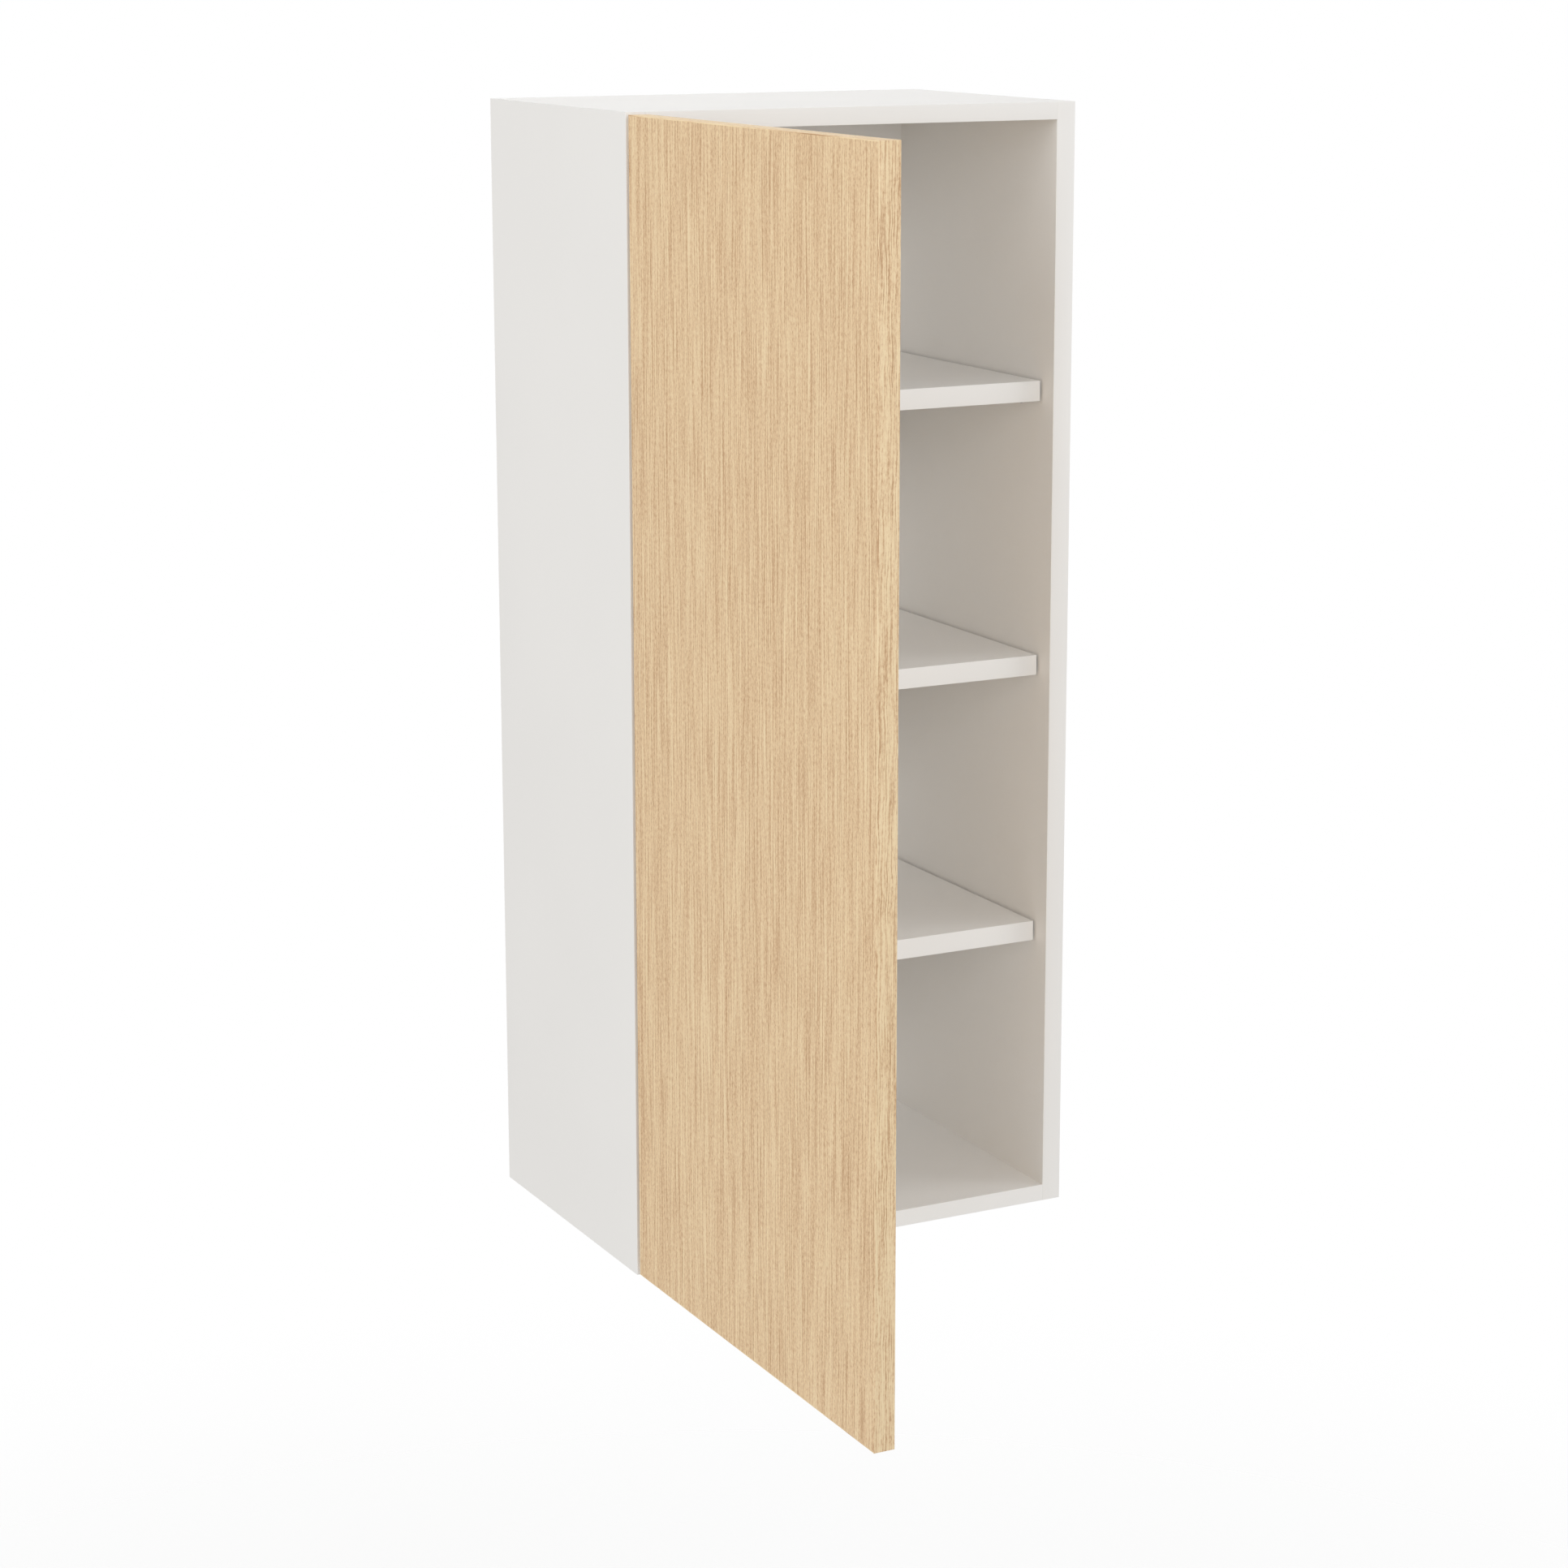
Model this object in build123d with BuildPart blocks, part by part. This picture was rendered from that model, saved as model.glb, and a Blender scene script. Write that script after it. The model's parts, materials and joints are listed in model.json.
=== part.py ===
from build123d import *
from math import sqrt
import os

os.makedirs("parts", exist_ok=True)

# Hanging wall cabinet: a tall narrow carcass with three loose shelves and one full-overlay door.
# Millimetres. The origin is the middle of the cabinet's width, on the wall, at the cabinet's underside.
# +X is to the right of someone facing the cabinet, +Y goes into the wall and +Z is up.
# The door is modelled as it stands at rest, open at a right angle on its left-hand hinges.

# Overall sizes of the carcass
WIDTH = 450.0
DEPTH = 300.0
HEIGHT = 1050.0

# Boards
SIDE_BOARD = 19.0
CAP_BOARD = 16.0
EDGE_BAND = 1.0
BACK_BOARD = 3.0
BACK_INSET = 4.0
GROOVE_DEPTH = 6.0
GROOVE_FIT = 0.1
BACK_END_GAP = 0.5

# Shelves and their pins
SHELF_COUNT = 3
SHELF_BOARD = 19.0
SHELF_SETBACK = 20.0
SHELF_END_GAP = 2.5
SHELF_REAR_GAP = 2.0
PIN_R = 2.5
PIN_LENGTH = 16.0
PIN_IN_BOARD = 8.0
PIN_COLLAR_R = 3.6
PIN_COLLAR = 1.2
PIN_FROM_SHELF_EDGE = 37.0
HOLE_FIT = 0.05
HOLE_SPARE = 1.0

# Corner fittings: cams, cam bolts and dowels
CAM_R = 7.5
CAM_DEPTH = 12.0
CAM_FROM_END = 24.0
CAM_SLOT = 1.6
CAM_SLOT_DEPTH = 2.5
BOLT_R = 3.0
BOLT_IN_SIDE = 11.0
BOLT_BORE_FIT = 0.4
DOWEL_R = 4.0
DOWEL_LENGTH = 30.0
DOWEL_IN_SIDE = 11.0
CAM_INSET = 50.0
DOWEL_INSET = 82.0

# Keyhole hanging plates in the rear edges of the sides
HANGER_WIDTH = 14.0
HANGER_HEIGHT = 60.0
HANGER_PLATE = 2.0
HANGER_FROM_TOP = 60.0
HANGER_FIT = 0.1
KEYHOLE_R = 4.75
KEYHOLE_SLOT_R = 2.6
KEYHOLE_RISE = 12.0
HEAD_POCKET_DEPTH = 12.0
HEAD_POCKET_SPARE = 1.0
HANGER_SCREW_SPACING = 48.0
WOOD_SCREW_R = 1.75
WOOD_SCREW_LENGTH = 14.0
WOOD_HEAD_R = 3.2
WOOD_HEAD = 1.0

# Door
DOOR_BOARD = 19.0
DOOR_FACE = 0.8
DOOR_SIDE_GAP = 1.5
DOOR_TOP_GAP = 2.0
DOOR_BOTTOM_GAP = 3.0
BUMPER = 2.9
BUMPER_R = 4.0
BUMPER_CLEARANCE = 0.1
BUMPER_FROM_END = 30.0

# Single-pivot concealed hinges
HINGE_FROM_END = 100.0
MIDDLE_HINGE_DROP = 55.5
CUP_R = 17.5
CUP_DEPTH = 13.5
CUP_WALL = 0.7
CUP_FLOOR = 0.8
CUP_TAB = 3.0
CUP_FIT = 0.05
FLANGE = 1.0
FLANGE_LAP = 1.0
WING_SPACING = 48.0
WING_OFFSET = 6.0
WING_WIDTH = 12.0
WING_END = 5.0
PIVOT_R = 1.2
PIVOT_FIT = 0.05
PIVOT_END_CLEARANCE = 0.25
KNUCKLE_R = 2.0
KNUCKLE_CLEARANCE = 0.3
ARM_SHEET = 2.0
ARM_STANDOFF = 6.5
TONGUE_WIDTH = 8.0
ARM_WIDTH = 18.0
ARM_FLANGE = 3.5
ARM_FLANGE_SHEET = 1.0
ARM_LENGTH = 60.0
PLATE_BASE = 1.5
PLATE_FRONT = 20.0
PLATE_LENGTH = 38.0
PLATE_SPREAD = 52.0
TOWER_WIDTH = 14.0
PLATE_SCREW_LINE = 37.0
PLATE_SCREW_SPACING = 32.0
EURO_SCREW_R = 3.0
EURO_SCREW_LENGTH = 13.0
EURO_HEAD_R = 4.2
EURO_HEAD = 1.6
CLAMP_LINE = 48.0
CLAMP_SCREW_R = 2.5
CLAMP_SCREW_LENGTH = 6.0
CLAMP_HEAD_R = 4.0
CLAMP_HEAD = 1.5

# Places that follow from the sizes above
HALF_WIDTH = WIDTH / 2
INNER_X = HALF_WIDTH - SIDE_BOARD
FRONT_Y = -DEPTH
BOARD_FRONT_Y = FRONT_Y + EDGE_BAND
BACK_FRONT_Y = -(BACK_INSET + BACK_BOARD)
GROOVE_Y = (BACK_FRONT_Y - GROOVE_FIT, -BACK_INSET + GROOVE_FIT)
TOP_Z = HEIGHT - CAP_BOARD
CLEAR_HEIGHT = (TOP_Z - CAP_BOARD - SHELF_COUNT * SHELF_BOARD) / (SHELF_COUNT + 1)
SHELF_Z = [CAP_BOARD + CLEAR_HEIGHT + n * (CLEAR_HEIGHT + SHELF_BOARD) for n in range(SHELF_COUNT)]
SHELF_X = INNER_X - SHELF_END_GAP
SHELF_FRONT_Y = FRONT_Y + SHELF_SETBACK
SHELF_REAR_Y = BACK_FRONT_Y - SHELF_REAR_GAP
PIN_YS = (SHELF_FRONT_Y + PIN_FROM_SHELF_EDGE, SHELF_REAR_Y - PIN_FROM_SHELF_EDGE)
CAM_YS = (FRONT_Y + CAM_INSET, -CAM_INSET)
DOWEL_YS = (FRONT_Y + DOWEL_INSET, -DOWEL_INSET)
HANGER_X = HALF_WIDTH - SIDE_BOARD / 2
HANGER_Z = HEIGHT - HANGER_FROM_TOP
KEYHOLE_Z = HANGER_Z - KEYHOLE_RISE / 2
DOOR_GAP = BUMPER + BUMPER_CLEARANCE
DOOR_WIDTH = WIDTH - 2 * DOOR_SIDE_GAP
DOOR_LOW_Z = DOOR_BOTTOM_GAP
DOOR_HIGH_Z = HEIGHT - DOOR_TOP_GAP

# The pivot sits as near to the door's edge and the cup's floor as the knuckle's clearance allows
CUP_FROM_EDGE = CUP_TAB + CUP_R
CUP_BORE_R = CUP_R - CUP_WALL
CUP_REACH = sqrt(CUP_BORE_R**2 - (TONGUE_WIDTH / 2) ** 2)
PIVOT_FROM_EDGE = CUP_FROM_EDGE - CUP_REACH + KNUCKLE_R + KNUCKLE_CLEARANCE
PIVOT_DEPTH = CUP_DEPTH - CUP_FLOOR - KNUCKLE_R - KNUCKLE_CLEARANCE
PIVOT_OFFSET = CUP_FROM_EDGE - PIVOT_FROM_EDGE + PIVOT_R
PIVOT_HALF_LENGTH = sqrt(CUP_R**2 - PIVOT_OFFSET**2) - PIVOT_END_CLEARANCE
HINGE_HEIGHTS = (
    HINGE_FROM_END,
    SHELF_Z[SHELF_COUNT // 2] - MIDDLE_HINGE_DROP,
    HEIGHT - HINGE_FROM_END,
)
HINGE_X = -HALF_WIDTH + DOOR_SIDE_GAP + PIVOT_FROM_EDGE
HINGE_Y = FRONT_Y - DOOR_GAP - PIVOT_DEPTH
SIDES = {"left": -1, "right": 1}

# The door's own directions: across runs from the hinge edge to the free edge and inward from the outer
# face to the inner face. Both are counted from the hinge axis.
DOOR_PLANE = Plane(origin=(HINGE_X, HINGE_Y, 0), x_dir=(0, -1, 0), z_dir=(0, 0, 1))
HINGE_EDGE = -PIVOT_FROM_EDGE
FREE_EDGE = HINGE_EDGE + DOOR_WIDTH
INNER_FACE = PIVOT_DEPTH
OUTER_FACE = INNER_FACE - DOOR_BOARD
CUP_ACROSS = HINGE_EDGE + CUP_FROM_EDGE


def block(x, y, z, mode=Mode.ADD):
    """A box between pairs of limits along X, Y and Z."""
    with BuildSketch(Plane.XY.offset(z[0])) as outline:
        with Locations(((x[0] + x[1]) / 2, (y[0] + y[1]) / 2)):
            Rectangle(x[1] - x[0], y[1] - y[0])
    extrude(outline.sketch, amount=z[1] - z[0], mode=mode)


def door_block(across, inward, z):
    """A box in the door's own directions."""
    with BuildSketch(DOOR_PLANE.offset(z[0])) as outline:
        with Locations(((across[0] + across[1]) / 2, (inward[0] + inward[1]) / 2)):
            Rectangle(across[1] - across[0], inward[1] - inward[0])
    extrude(outline.sketch, amount=z[1] - z[0])


def rod(start, direction, radius, length, mode=Mode.ADD):
    """A round bar, or a drilled hole, from a point along a direction."""
    with BuildSketch(Plane(origin=start, z_dir=direction)) as outline:
        Circle(radius)
    extrude(outline.sketch, amount=length, mode=mode)


def save(piece, name):
    """Labels a finished piece and writes it."""
    piece.part.label = name
    export_step(piece.part, f"parts/{name}.step")


def cup_plane(z):
    """The door's inner face at a hinge cup's centre, facing out of the door."""
    return Plane(origin=(HINGE_X + INNER_FACE, HINGE_Y - CUP_ACROSS, z), x_dir=(0, -1, 0), z_dir=(1, 0, 0))


def wing_points():
    """The two screw places on a hinge cup's wings."""
    return [(WING_OFFSET, -WING_SPACING / 2), (WING_OFFSET, WING_SPACING / 2)]


def corner_places():
    """Each corner joint as its side's sign and the middle height of its board."""
    return [(side, z) for side in SIDES.values() for z in (CAP_BOARD / 2, HEIGHT - CAP_BOARD / 2)]


# Side panels, with the groove for the back and every drilling that they need
for label, side in SIDES.items():
    inner = side * INNER_X
    outer = side * HALF_WIDTH
    groove = side * (INNER_X + GROOVE_DEPTH)
    groove_z = (CAP_BOARD - GROOVE_DEPTH, TOP_Z + GROOVE_DEPTH)
    plate_x = side * HANGER_X
    hanger_z = (HANGER_Z - HANGER_HEIGHT / 2 - HANGER_FIT, HANGER_Z + HANGER_HEIGHT / 2 + HANGER_FIT)
    hanger_x = (plate_x - HANGER_WIDTH / 2 - HANGER_FIT, plate_x + HANGER_WIDTH / 2 + HANGER_FIT)
    pocket_r = KEYHOLE_R + HEAD_POCKET_SPARE
    pocket_z = (KEYHOLE_Z - pocket_r, KEYHOLE_Z + KEYHOLE_RISE + pocket_r)
    pocket_x = (plate_x - pocket_r, plate_x + pocket_r)
    with BuildPart() as panel:
        block(sorted((inner, outer)), (BOARD_FRONT_Y, 0), (0, HEIGHT))
        block(sorted((inner, groove)), GROOVE_Y, groove_z, Mode.SUBTRACT)
        for shelf_z in SHELF_Z:
            for y in PIN_YS:
                rod((inner, y, shelf_z - PIN_R), (side, 0, 0), PIN_R + HOLE_FIT, PIN_IN_BOARD + HOLE_SPARE,
                    Mode.SUBTRACT)
        for z in (CAP_BOARD / 2, HEIGHT - CAP_BOARD / 2):
            for y in CAM_YS:
                rod((inner, y, z), (side, 0, 0), BOLT_R + HOLE_FIT, BOLT_IN_SIDE + HOLE_SPARE,
                    Mode.SUBTRACT)
            for y in DOWEL_YS:
                rod((inner, y, z), (side, 0, 0), DOWEL_R + HOLE_FIT, DOWEL_IN_SIDE + HOLE_SPARE,
                    Mode.SUBTRACT)
        block(hanger_x, (-HANGER_PLATE, 0), hanger_z, Mode.SUBTRACT)
        block(pocket_x, (-HANGER_PLATE - HEAD_POCKET_DEPTH, -HANGER_PLATE), pocket_z, Mode.SUBTRACT)
        for z in (HANGER_Z - HANGER_SCREW_SPACING / 2, HANGER_Z + HANGER_SCREW_SPACING / 2):
            rod((plate_x, -HANGER_PLATE, z), (0, -1, 0), WOOD_SCREW_R + HOLE_FIT,
                WOOD_SCREW_LENGTH + HOLE_SPARE, Mode.SUBTRACT)
        if side < 0:
            for hinge_z in HINGE_HEIGHTS:
                for z in (hinge_z - PLATE_SCREW_SPACING / 2, hinge_z + PLATE_SCREW_SPACING / 2):
                    rod((inner, FRONT_Y + PLATE_SCREW_LINE, z), (side, 0, 0), EURO_SCREW_R + HOLE_FIT,
                        EURO_SCREW_LENGTH + HOLE_SPARE, Mode.SUBTRACT)
    save(panel, f"side_{label}")
    with BuildPart() as band:
        block(sorted((inner, outer)), (FRONT_Y, BOARD_FRONT_Y), (0, HEIGHT))
    save(band, f"edge_band_{label}")

# Top and bottom, between the sides, with the groove, the cam pockets and the end drillings
for label, low_z in (("top", TOP_Z), ("bottom", 0.0)):
    inner_z, into_board = (TOP_Z, 1) if label == "top" else (CAP_BOARD, -1)
    groove_z = sorted((inner_z, inner_z + into_board * GROOVE_DEPTH))
    middle_z = low_z + CAP_BOARD / 2
    with BuildPart() as cap:
        block((-INNER_X, INNER_X), (BOARD_FRONT_Y, 0), (low_z, low_z + CAP_BOARD))
        block((-INNER_X, INNER_X), GROOVE_Y, groove_z, Mode.SUBTRACT)
        for side in SIDES.values():
            for y in CAM_YS:
                rod((side * (INNER_X - CAM_FROM_END), y, low_z), (0, 0, 1), CAM_R + HOLE_FIT,
                    CAM_DEPTH + HOLE_FIT, Mode.SUBTRACT)
                rod((side * INNER_X, y, middle_z), (-side, 0, 0), BOLT_R + BOLT_BORE_FIT, CAM_FROM_END,
                    Mode.SUBTRACT)
            for y in DOWEL_YS:
                rod((side * INNER_X, y, middle_z), (-side, 0, 0), DOWEL_R + HOLE_FIT,
                    DOWEL_LENGTH - DOWEL_IN_SIDE + HOLE_SPARE, Mode.SUBTRACT)
    save(cap, f"{label}_panel")
    with BuildPart() as band:
        block((-INNER_X, INNER_X), (FRONT_Y, BOARD_FRONT_Y), (low_z, low_z + CAP_BOARD))
    save(band, f"edge_band_{label}")

    with BuildPart() as cams:
        for side in SIDES.values():
            for y in CAM_YS:
                centre_x = side * (INNER_X - CAM_FROM_END)
                rod((centre_x, y, low_z), (0, 0, 1), CAM_R, CAM_DEPTH)
                rod((centre_x + side * CAM_R, y, middle_z), (-side, 0, 0), BOLT_R + BOLT_BORE_FIT, CAM_R,
                    Mode.SUBTRACT)
                slot_x = (centre_x - CAM_R / 2, centre_x + CAM_R / 2)
                slot_y = (y - CAM_SLOT / 2, y + CAM_SLOT / 2)
                block(slot_x, slot_y, (low_z, low_z + CAM_SLOT_DEPTH), Mode.SUBTRACT)
    save(cams, f"cams_{label}")

# The back panel slides in the grooves of all four boards
with BuildPart() as back_panel:
    back_x = INNER_X + GROOVE_DEPTH - BACK_END_GAP
    back_z = (CAP_BOARD - GROOVE_DEPTH + BACK_END_GAP, TOP_Z + GROOVE_DEPTH - BACK_END_GAP)
    block((-back_x, back_x), (BACK_FRONT_Y, -BACK_INSET), back_z)
save(back_panel, "back_panel")

# Cam bolts and dowels, which run from the side panels into the ends of the top and bottom
with BuildPart() as cam_bolts:
    for side, z in corner_places():
        for y in CAM_YS:
            bolt_length = BOLT_IN_SIDE + CAM_FROM_END - CAM_SLOT
            rod((side * (INNER_X + BOLT_IN_SIDE), y, z), (-side, 0, 0), BOLT_R, bolt_length)
save(cam_bolts, "cam_bolts")

with BuildPart() as dowels:
    for side, z in corner_places():
        for y in DOWEL_YS:
            rod((side * (INNER_X + DOWEL_IN_SIDE), y, z), (-side, 0, 0), DOWEL_R, DOWEL_LENGTH)
save(dowels, "dowels")

# Shelves: a board, its front edge band and the four pins under it
for number, shelf_z in enumerate(SHELF_Z, start=1):
    board_front_y = SHELF_FRONT_Y + EDGE_BAND
    board_z = (shelf_z, shelf_z + SHELF_BOARD)
    with BuildPart() as shelf:
        block((-SHELF_X, SHELF_X), (board_front_y, SHELF_REAR_Y), board_z)
    save(shelf, f"shelf_{number}")
    with BuildPart() as band:
        block((-SHELF_X, SHELF_X), (SHELF_FRONT_Y, board_front_y), board_z)
    save(band, f"shelf_band_{number}")
    with BuildPart() as pins:
        for side in SIDES.values():
            for y in PIN_YS:
                pin_z = shelf_z - PIN_R
                rod((side * (INNER_X + PIN_IN_BOARD), y, pin_z), (-side, 0, 0), PIN_R, PIN_LENGTH)
                rod((side * INNER_X, y, pin_z), (-side, 0, 0), PIN_COLLAR_R, PIN_COLLAR)
    save(pins, f"shelf_pins_{number}")

# Hanging plates: a keyhole that takes a wall screw's head and lets it rise into the slot
for label, side in SIDES.items():
    plate_plane = Plane(origin=(side * HANGER_X, 0, HANGER_Z), x_dir=(-1, 0, 0), z_dir=(0, 1, 0))
    with BuildPart() as hanger:
        with BuildSketch(plate_plane):
            Rectangle(HANGER_WIDTH, HANGER_HEIGHT)
            with Locations((0, KEYHOLE_Z - HANGER_Z)):
                Circle(KEYHOLE_R, mode=Mode.SUBTRACT)
            with Locations((0, KEYHOLE_Z - HANGER_Z + KEYHOLE_RISE / 2)):
                Rectangle(2 * KEYHOLE_SLOT_R, KEYHOLE_RISE, mode=Mode.SUBTRACT)
            with Locations((0, KEYHOLE_Z - HANGER_Z + KEYHOLE_RISE)):
                Circle(KEYHOLE_SLOT_R, mode=Mode.SUBTRACT)
            with Locations((0, -HANGER_SCREW_SPACING / 2), (0, HANGER_SCREW_SPACING / 2)):
                Circle(WOOD_SCREW_R + HOLE_FIT, mode=Mode.SUBTRACT)
        extrude(amount=-HANGER_PLATE)
    save(hanger, f"hanger_{label}")

with BuildPart() as hanger_screws:
    for side in SIDES.values():
        for z in (HANGER_Z - HANGER_SCREW_SPACING / 2, HANGER_Z + HANGER_SCREW_SPACING / 2):
            rod((side * HANGER_X, 0, z), (0, -1, 0), WOOD_SCREW_R, WOOD_SCREW_LENGTH)
save(hanger_screws, "hanger_screws")

# Door: core, oak faces and edge bands
CORE_ACROSS = (HINGE_EDGE + EDGE_BAND, FREE_EDGE - EDGE_BAND)
CORE_Z = (DOOR_LOW_Z + EDGE_BAND, DOOR_HIGH_Z - EDGE_BAND)
with BuildPart() as door_core:
    door_block(CORE_ACROSS, (OUTER_FACE + DOOR_FACE, INNER_FACE - DOOR_FACE), CORE_Z)
    for hinge_z in HINGE_HEIGHTS:
        with BuildSketch(cup_plane(hinge_z)):
            Circle(CUP_R)
        extrude(amount=-CUP_DEPTH - CUP_FIT, mode=Mode.SUBTRACT)
        with BuildSketch(cup_plane(hinge_z)):
            with Locations(wing_points()):
                Circle(WOOD_SCREW_R + HOLE_FIT)
        extrude(amount=-WOOD_SCREW_LENGTH, mode=Mode.SUBTRACT)
save(door_core, "door_core")

with BuildPart() as door_face_outer:
    door_block(CORE_ACROSS, (OUTER_FACE, OUTER_FACE + DOOR_FACE), CORE_Z)
save(door_face_outer, "door_face_outer")

with BuildPart() as door_face_inner:
    door_block(CORE_ACROSS, (INNER_FACE - DOOR_FACE, INNER_FACE), CORE_Z)
    for hinge_z in HINGE_HEIGHTS:
        with BuildSketch(cup_plane(hinge_z)):
            Circle(CUP_R)
            with Locations(wing_points()):
                Circle(WOOD_SCREW_R + HOLE_FIT)
        extrude(amount=-DOOR_FACE, mode=Mode.SUBTRACT)
save(door_face_inner, "door_face_inner")

for label, across in (("hinge", (HINGE_EDGE, CORE_ACROSS[0])), ("free", (CORE_ACROSS[1], FREE_EDGE))):
    with BuildPart() as band:
        door_block(across, (OUTER_FACE, INNER_FACE), (DOOR_LOW_Z, DOOR_HIGH_Z))
    save(band, f"door_band_{label}")

for label, z in (("bottom", (DOOR_LOW_Z, CORE_Z[0])), ("top", (CORE_Z[1], DOOR_HIGH_Z))):
    with BuildPart() as band:
        door_block(CORE_ACROSS, (OUTER_FACE, INNER_FACE), z)
    save(band, f"door_band_{label}")

# Soft bumpers on the door's inner face, which meet the right side panel's front edge
with BuildPart() as bumpers:
    bumper_across = FREE_EDGE + DOOR_SIDE_GAP - SIDE_BOARD / 2
    for z in (DOOR_LOW_Z + BUMPER_FROM_END, DOOR_HIGH_Z - BUMPER_FROM_END):
        rod((HINGE_X + INNER_FACE, HINGE_Y - bumper_across, z), (1, 0, 0), BUMPER_R, BUMPER)
save(bumpers, "door_bumpers")

# Hinges: a cup in the door holds the pivot pin, and an arm on the side panel ends in a knuckle round it
for number, hinge_z in enumerate(HINGE_HEIGHTS, start=1):
    with BuildPart() as cup:
        with BuildSketch(cup_plane(hinge_z)):
            Circle(CUP_R + FLANGE_LAP)
            with Locations((WING_OFFSET, 0)):
                Rectangle(WING_WIDTH, WING_SPACING + 2 * WING_END)
        extrude(amount=FLANGE)
        with BuildSketch(cup_plane(hinge_z)):
            Circle(CUP_R - CUP_FIT)
        extrude(amount=-CUP_DEPTH)
        with BuildSketch(cup_plane(hinge_z).offset(FLANGE)):
            Circle(CUP_BORE_R)
        extrude(amount=-(FLANGE + CUP_DEPTH - CUP_FLOOR), mode=Mode.SUBTRACT)
        with BuildSketch(cup_plane(hinge_z).offset(FLANGE)):
            with Locations(wing_points()):
                Circle(WOOD_SCREW_R + HOLE_FIT)
        extrude(amount=-FLANGE, mode=Mode.SUBTRACT)
        rod((HINGE_X, HINGE_Y, hinge_z - PIVOT_HALF_LENGTH), (0, 0, 1), PIVOT_R, 2 * PIVOT_HALF_LENGTH,
            Mode.SUBTRACT)
    save(cup, f"hinge_cup_{number}")

    # The arm: a rolled knuckle, a tongue along the cup's floor, a bend and a channel over the plate
    bend_x = -INNER_X + ARM_STANDOFF
    tongue_z = (hinge_z - TONGUE_WIDTH / 2, hinge_z + TONGUE_WIDTH / 2)
    with BuildPart() as arm:
        with BuildSketch(Plane.XY.offset(tongue_z[0])):
            with Locations((HINGE_X, HINGE_Y)):
                Circle(KNUCKLE_R)
        extrude(amount=TONGUE_WIDTH)
        block((HINGE_X, bend_x + ARM_SHEET), (HINGE_Y - ARM_SHEET, HINGE_Y), tongue_z)
        block((bend_x, bend_x + ARM_SHEET), (HINGE_Y - ARM_SHEET, FRONT_Y + ARM_SHEET), tongue_z)
        block((bend_x, bend_x + ARM_SHEET), (FRONT_Y, FRONT_Y + ARM_LENGTH),
              (hinge_z - ARM_WIDTH / 2, hinge_z + ARM_WIDTH / 2))
        for rim in (-1, 1):
            outer_z = hinge_z + rim * ARM_WIDTH / 2
            rim_z = sorted((outer_z, outer_z - rim * ARM_FLANGE_SHEET))
            block((bend_x - ARM_FLANGE, bend_x), (FRONT_Y, FRONT_Y + ARM_LENGTH), rim_z)
        rod((HINGE_X, HINGE_Y, tongue_z[0]), (0, 0, 1), PIVOT_R + PIVOT_FIT, TONGUE_WIDTH, Mode.SUBTRACT)
        rod((bend_x, FRONT_Y + CLAMP_LINE, hinge_z), (1, 0, 0), CLAMP_SCREW_R + HOLE_FIT, ARM_SHEET,
            Mode.SUBTRACT)
    save(arm, f"hinge_arm_{number}")

    with BuildPart() as plate:
        plate_y = (FRONT_Y + PLATE_FRONT, FRONT_Y + PLATE_FRONT + PLATE_LENGTH)
        base_z = (hinge_z - PLATE_SPREAD / 2, hinge_z + PLATE_SPREAD / 2)
        tower_z = (hinge_z - TOWER_WIDTH / 2, hinge_z + TOWER_WIDTH / 2)
        block((-INNER_X, -INNER_X + PLATE_BASE), plate_y, base_z)
        block((-INNER_X + PLATE_BASE, bend_x), plate_y, tower_z)
        for z in (hinge_z - PLATE_SCREW_SPACING / 2, hinge_z + PLATE_SCREW_SPACING / 2):
            rod((-INNER_X, FRONT_Y + PLATE_SCREW_LINE, z), (1, 0, 0), EURO_SCREW_R + HOLE_FIT, PLATE_BASE,
                Mode.SUBTRACT)
        rod((bend_x, FRONT_Y + CLAMP_LINE, hinge_z), (-1, 0, 0), CLAMP_SCREW_R + HOLE_FIT,
            ARM_STANDOFF - PLATE_BASE, Mode.SUBTRACT)
    save(plate, f"hinge_plate_{number}")

with BuildPart() as hinge_pins:
    for hinge_z in HINGE_HEIGHTS:
        rod((HINGE_X, HINGE_Y, hinge_z - PIVOT_HALF_LENGTH), (0, 0, 1), PIVOT_R, 2 * PIVOT_HALF_LENGTH)
save(hinge_pins, "hinge_pins")

with BuildPart() as cup_screws:
    for hinge_z in HINGE_HEIGHTS:
        for z in (hinge_z - WING_SPACING / 2, hinge_z + WING_SPACING / 2):
            head = (HINGE_X + INNER_FACE + FLANGE, HINGE_Y - CUP_ACROSS - WING_OFFSET, z)
            rod(head, (1, 0, 0), WOOD_HEAD_R, WOOD_HEAD)
            rod(head, (-1, 0, 0), WOOD_SCREW_R, WOOD_SCREW_LENGTH)
save(cup_screws, "hinge_cup_screws")

with BuildPart() as plate_screws:
    for hinge_z in HINGE_HEIGHTS:
        for z in (hinge_z - PLATE_SCREW_SPACING / 2, hinge_z + PLATE_SCREW_SPACING / 2):
            head = (-INNER_X + PLATE_BASE, FRONT_Y + PLATE_SCREW_LINE, z)
            rod(head, (1, 0, 0), EURO_HEAD_R, EURO_HEAD)
            rod(head, (-1, 0, 0), EURO_SCREW_R, EURO_SCREW_LENGTH)
save(plate_screws, "hinge_plate_screws")

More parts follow.
